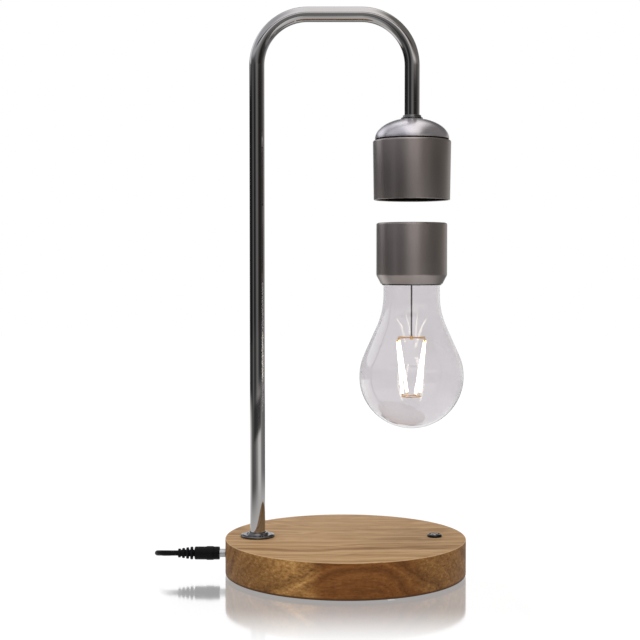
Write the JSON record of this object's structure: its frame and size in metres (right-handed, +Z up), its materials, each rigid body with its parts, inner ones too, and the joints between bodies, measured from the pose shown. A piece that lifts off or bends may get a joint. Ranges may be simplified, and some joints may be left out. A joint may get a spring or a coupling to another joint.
{
  "type": "levitating lamp",
  "caption": "Table lamp with a round wooden base, an arched tube stand and a filament bulb that floats below a magnet holder.",
  "frame": {"origin": "on the floor below the middle of the wooden base, the cord left out", "axes": "+Z up, +X from the stand's foot towards the bulb, +Y to the back of the lamp"},
  "size_m": [0.209, 0.2222, 0.3753],
  "materials": {
    "oak": "satin varnished",
    "black_plastic": "satin moulded",
    "black_rubber": "matt",
    "steel": "plain",
    "chrome": "polished",
    "gunmetal": "satin",
    "polished_metal": "polished satin",
    "copper": "enamelled wire",
    "circuit": "solder mask",
    "ferrite": "matt",
    "iron_core": "plain",
    "magnet_nickel": "nickel plated",
    "cable": "flexible sheath",
    "clear_glass": "clear with a faint grey tint",
    "brass_wire": "thin wire",
    "dark_wire": "oxidised",
    "phosphor": "glowing phosphor coat",
    "white_plastic": "moulded"
  },
  "bodies": {
    "lamp": {"wood_base": "oak", "base_cover": "black_plastic", "foot_1": "black_rubber", "foot_2": "black_rubber", "foot_3": "black_rubber", "foot_4": "black_rubber", "cover_screw_1": "steel", "cover_screw_2": "steel", "cover_screw_3": "steel", "cover_screw_4": "steel", "main_board": "circuit", "board_screw_1": "steel", "board_screw_2": "steel", "charging_coil": "copper", "ferrite_sheet": "ferrite", "dc_jack": "black_plastic", "jack_pin": "steel", "button_body": "chrome", "button_spring": "steel", "button_nut": "steel", "stand_tube": "chrome", "tube_lead": "cable", "stand_collar": "chrome", "stand_washer": "steel", "stand_nut": "steel", "holder_skirt": "gunmetal", "holder_dome": "polished_metal", "tube_ferrule": "chrome", "holder_nut": "steel", "holder_cover": "black_plastic", "transmitter_coil": "copper", "sensor_board": "circuit", "electromagnet_core": "iron_core", "electromagnet_coil": "copper", "magnet_bridge": "steel"},
    "bulb_lift": {"levitation_magnet": "magnet_nickel"},
    "bulb": {"bulb_cap": "gunmetal", "bulb_cap_lid": "gunmetal", "receiver_coil": "copper", "magnet_holder": "white_plastic", "bulb_board": "circuit", "neck_plug": "black_plastic", "glass_bulb": "clear_glass", "support_rod": "dark_wire", "filament_cross": "brass_wire", "filament_ring": "brass_wire", "led_filament_1": "phosphor", "led_filament_2": "phosphor", "led_filament_3": "phosphor", "led_filament_4": "phosphor"},
    "button": {"button_plunger": "gunmetal"},
    "plug": {"plug_barrel": "steel", "plug_body": "black_plastic", "strain_relief": "black_rubber", "cord_lead": "cable", "cord_coil": "cable", "cord_tail": "cable", "far_plug_housing": "black_plastic", "far_plug_shell": "steel"}
  },
  "joints": [
    {"name": "bulb_float", "type": "slide", "parent": "lamp", "child": "bulb_lift", "axis": [0, 0, 1], "range_m": [-0.071, 0.0138], "stiffness_N_per_m": 250, "springref_m": 0.00929},
    {"name": "bulb_spin", "type": "hinge", "parent": "bulb_lift", "child": "bulb", "pos_m": [0.0437, 0, 0.2], "axis": [0, 0, 1], "continuous": true},
    {"name": "button_press", "type": "slide", "parent": "lamp", "child": "button", "axis": [0, 0, -1], "range_m": [0, 0.0012], "stiffness_N_per_m": 900, "springref_m": -0.0012, "deforming": ["button_spring"]},
    {"name": "plug_pull", "type": "slide", "parent": "lamp", "child": "plug", "axis": [-1, 0, 0], "range_m": [0, 0.012]}
  ]
}
